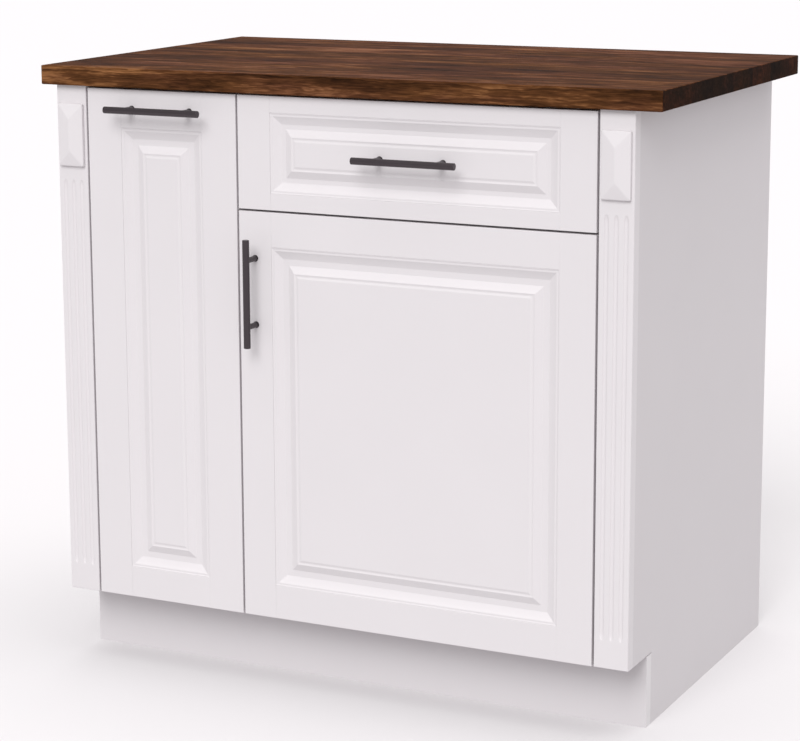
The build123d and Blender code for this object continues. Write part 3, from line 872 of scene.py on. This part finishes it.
def boreShelfHoles(piece, faceX, way):  # two rows of holes that the shelf pins could move to
    low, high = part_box("shelf_pins")
    tools = []
    for y in (low.y + shelfHoles["radius"], high.y - shelfHoles["radius"]):
        for step in range(-shelfHoles["countEachWay"], shelfHoles["countEachWay"] + 1):
            if step:
                z = (low.z + high.z) / 2 + step * shelfHoles["spacing"]
                mouth = (faceX + way * shelfHoles["overrun"], y, z)
                end = (faceX - way * shelfHoles["depth"], y, z)
                radius, sides = shelfHoles["radius"], shelfHoles["sides"]
                tools.append(addRod("boreTool", mouth, end, radius, sides))
    pick(*tools)
    bpy.ops.object.join()
    cut(piece, bpy.context.object)


def lowerTop(piece, drop):
    top = extent(piece)[1].z
    pick(piece)
    bpy.ops.object.mode_set(mode="EDIT")
    bpy.ops.mesh.select_all(action="DESELECT")
    grid = bmesh.from_edit_mesh(piece.data)
    for vertex in grid.verts:
        vertex.select_set(vertex.co.z > top - tolerance["level"])
    grid.select_flush(True)
    bmesh.update_edit_mesh(piece.data)
    bpy.ops.transform.translate(value=(0, 0, -drop))
    bpy.ops.object.mode_set(mode="OBJECT")


def easeBoard(node, body):
    piece = copySolid(node)
    if node == "centre_partition":
        boreShelfHoles(piece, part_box(node)[1].x, 1)
    if node == "right_lining_panel":
        boreShelfHoles(piece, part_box(node)[0].x, -1)
    if node == "plinth_board":
        lowerTop(piece, board["plinthGap"])
    modify(piece, "BEVEL", width=board["easing"], segments=2, limit_method="ANGLE",
           angle_limit=math.radians(board["easeAbove"]))
    smooth(piece)
    dress(piece, finishes["melamineBoard"], body, "white_board", node)
    piece.data.materials.append(finishes["absEdgeBand"])
    low, high = extent(piece)
    size = high - low
    thin = min(range(3), key=lambda axis: size[axis])
    for face in piece.data.polygons:
        if abs(face.normal[thin]) < board["bandTurn"]:
            face.material_index = 1


for body in ("cabinet", "drawer"):
    for node in board[body]:
        easeBoard(node, body)
print("boards eased")


basket = {
    "inset": 0.003,
    "corner": 0.022,
    "cornerSides": 7,
    "rimRadius": 0.0028,
    "wireRadius": 0.0014,
    "pitch": 0.026,
    "secondWire": 0.034,  # how far below the rim a second wire runs round
    "hoopCorner": 0.008,
    "sheet": 0.0012,
    "crease": 40,
}


def addRoundedPlane(name, low, high, z, corner):
    bpy.ops.object.select_all(action="DESELECT")
    size = Vector((high.x - low.x, high.y - low.y, 1))
    place = ((low.x + high.x) / 2, (low.y + high.y) / 2, z)
    bpy.ops.mesh.primitive_plane_add(size=1, location=place)
    piece = bpy.context.object
    piece.name = name
    piece.scale = size
    settle(piece)
    bpy.ops.object.mode_set(mode="EDIT")
    bpy.ops.mesh.select_all(action="SELECT")
    bpy.ops.mesh.bevel(offset=corner, segments=basket["cornerSides"], affect="VERTICES")
    bpy.ops.object.mode_set(mode="OBJECT")
    return piece


def thicken(piece, radius, roundness=2):  # wire along a mesh's bare edges
    pick(piece)
    bpy.ops.object.convert(target="CURVE")
    bpy.context.object.data.bevel_depth = radius
    bpy.context.object.data.bevel_resolution = roundness
    bpy.context.object.data.use_fill_caps = True
    bpy.ops.object.convert(target="MESH")
    return bpy.context.object


def addRim(low, high, z, radius):
    piece = addRoundedPlane("rim", low, high, z, basket["corner"])
    bpy.ops.object.mode_set(mode="EDIT")
    bpy.ops.mesh.select_all(action="SELECT")
    bpy.ops.mesh.delete(type="ONLY_FACE")
    bpy.ops.object.mode_set(mode="OBJECT")
    return thicken(piece, radius, 3)


def addHoop(start, end, drop, corner):  # a wire that hangs as a square U from start to end
    bpy.ops.object.select_all(action="DESELECT")
    start, end = Vector(start), Vector(end)
    middle = (start + end) / 2 - Vector((0, 0, drop / 2))
    alongX = abs(end.x - start.x) > abs(end.y - start.y)
    turn = (math.pi / 2, 0, 0 if alongX else math.pi / 2)
    bpy.ops.mesh.primitive_plane_add(size=1, location=middle, rotation=turn)
    piece = bpy.context.object
    piece.scale = ((end - start).length, drop, 1)
    settle(piece)
    bpy.ops.object.mode_set(mode="EDIT")
    bpy.ops.mesh.select_all(action="DESELECT")
    grid = bmesh.from_edit_mesh(piece.data)
    for vertex in grid.verts:
        vertex.select_set(vertex.co.z < middle.z)
    grid.select_flush(True)
    bmesh.update_edit_mesh(piece.data)
    bpy.ops.mesh.bevel(offset=corner, segments=4, affect="VERTICES")
    bpy.ops.mesh.select_all(action="SELECT")
    bpy.ops.mesh.delete(type="ONLY_FACE")
    grid = bmesh.from_edit_mesh(piece.data)
    top = max(v.co.z for v in grid.verts)
    for edge in grid.edges:
        edge.select_set(all(abs(v.co.z - top) < tolerance["level"] for v in edge.verts))
    bmesh.update_edit_mesh(piece.data)
    bpy.ops.mesh.delete(type="EDGE")
    bpy.ops.object.mode_set(mode="OBJECT")
    return thicken(piece, basket["wireRadius"])


def copyAlong(piece, step, count):
    copies = [piece]
    for number in range(1, count):
        pick(piece)
        bpy.ops.object.duplicate()
        bpy.ops.transform.translate(value=step * number)
        settle(bpy.context.object)
        copies.append(bpy.context.object)
    return copies


def makeBasket(node):
    low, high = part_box(node)
    rim, wire = basket["rimRadius"], basket["wireRadius"]
    inner = Vector((rim + basket["inset"], rim + basket["inset"], 0))
    low, high = low + inner, high - inner
    top, bottom = high.z - rim, low.z + wire
    parts = [addRim(low, high, top, rim), addRim(low, high, top - basket["secondWire"], wire)]

    tray = addRoundedPlane("tray", low, high, bottom + wire, basket["corner"])
    modify(tray, "SOLIDIFY", thickness=basket["sheet"], offset=1)
    parts.append(tray)

    for axis in (1, 0):  # a row of hoops along the depth, then one along the width
        reach = high[axis] - low[axis] - 2 * basket["corner"]
        count = round(reach / basket["pitch"]) + 1
        start, end = Vector((low.x, low.y, top)), Vector((high.x, high.y, top))
        start[axis] = end[axis] = low[axis] + basket["corner"]
        step = Vector((0, 0, 0))
        step[axis] = reach / (count - 1)
        hoop = addHoop(start, end, top - bottom, basket["hoopCorner"])
        parts += copyAlong(hoop, step, count)

    pick(*parts)
    bpy.ops.object.join()
    piece = bpy.context.object
    piece.name = camel(node).replace("Basket", "WireBasket")
    smooth(piece, basket["crease"])
    dress(piece, finishes["powderCoat"], "pullout", "grey_paint", node)


for node in ("pullout_lower_basket", "pullout_upper_basket"):
    makeBasket(node)
print("baskets made")


screw = {
    "radius": 0.0036,
    "height": 0.0014,
    "crown": 0.45,  # the share of a head's height that is rounded
    "slot": 0.0009,
    "slotDepth": 0.0008,
    "slotReach": 0.62,  # the share of the radius that the cross recess takes
    "sink": 0.0002,  # how far a head is let into its plate
    "cupSpread": 0.024,  # from the middle of a hinge to its screws
    "plateSpread": 0.0142,
    "sides": 20,
}
nail = {"radius": 0.0022, "height": 0.0008, "pitch": 0.12, "margin": 0.025, "sink": 0.0001}


def addHead(name, place, way, radius, height, slotted):  # a screw's or a nail's low round head
    way = Vector(way)
    place = Vector(place)
    head = addRod(name, place, place + way * height, radius, screw["sides"])
    modify(head, "BEVEL", width=height * screw["crown"], segments=2, limit_method="ANGLE")
    if slotted:
        through = max(range(3), key=lambda axis: abs(way[axis]))
        for axis in range(3):
            if axis == through:
                continue
            half = Vector((0, 0, 0))
            half[axis] = radius * screw["slotReach"]
            half[3 - axis - through] = screw["slot"] / 2
            middle = place + way * (height - screw["slotDepth"] / 2)
            deep = Vector([abs(c) for c in way]) * (screw["slotDepth"] / 2 + screw["sink"])
            cut(head, addBox("slotTool", middle - half - deep, middle + half + deep))
    smooth(head)
    return head


def makeScrewPair(name, centre, spread, way, body):
    x, y, z = centre
    heads = []
    for side in (-1, 1):
        place = (x, y, z + side * spread)
        heads.append(addHead("head", place, way, screw["radius"], screw["height"], True))
    pick(*heads)
    bpy.ops.object.join()
    bpy.context.object.name = name
    dress(bpy.context.object, finishes["nickelPlate"], body, "nickel")


def makeHingeScrews():
    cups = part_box("hinge_cups")
    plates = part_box("hinge_plates")
    flange = hingeBore["flange"]
    cupX = (cups[0].x + cups[1].x) / 2
    plateY = (plates[0].y + plates[1].y) / 2
    for number, z in enumerate((cups[0].z + flange, cups[1].z - flange), 1):
        onCup = (cupX, cups[1].y - screw["sink"], z)
        makeScrewPair(f"cupScrews{number}", onCup, screw["cupSpread"], (0, 1, 0), "door")
        onPlate = (plates[0].x + screw["sink"], plateY, z)
        makeScrewPair(f"plateScrews{number}", onPlate, screw["plateSpread"], (-1, 0, 0), "cabinet")


def makeBackNails():
    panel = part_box("back_panel")
    places = []
    for node in ("back_top_rail", "bottom_panel"):
        low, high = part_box(node)
        count = round((high.x - low.x) / nail["pitch"])
        pitch = (high.x - low.x - 2 * nail["margin"]) / count
        start, height = low.x + nail["margin"], (low.z + high.z) / 2
        places += [(start + step * pitch, height) for step in range(count + 1)]
    for node in ("left_lining_panel", "centre_partition", "right_lining_panel"):
        low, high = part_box(node)
        count = round((high.z - low.z) / nail["pitch"])
        pitch = (high.z - low.z) / count
        places += [((low.x + high.x) / 2, low.z + step * pitch) for step in range(1, count)]
    firstX, firstZ = places[0]
    mouth = (firstX, panel[1].y - nail["sink"], firstZ)
    first = addHead("backNails", mouth, (0, 1, 0), nail["radius"], nail["height"], False)
    heads = [first]
    for x, z in places[1:]:
        pick(first)
        bpy.ops.object.duplicate()
        bpy.ops.transform.translate(value=(x - firstX, 0, z - firstZ))
        settle(bpy.context.object)
        heads.append(bpy.context.object)
    pick(*heads)
    bpy.ops.object.join()
    dress(bpy.context.object, finishes["zincSheet"], "cabinet", "zinc_steel")


makeHingeScrews()
makeBackNails()
print("small fixings made")
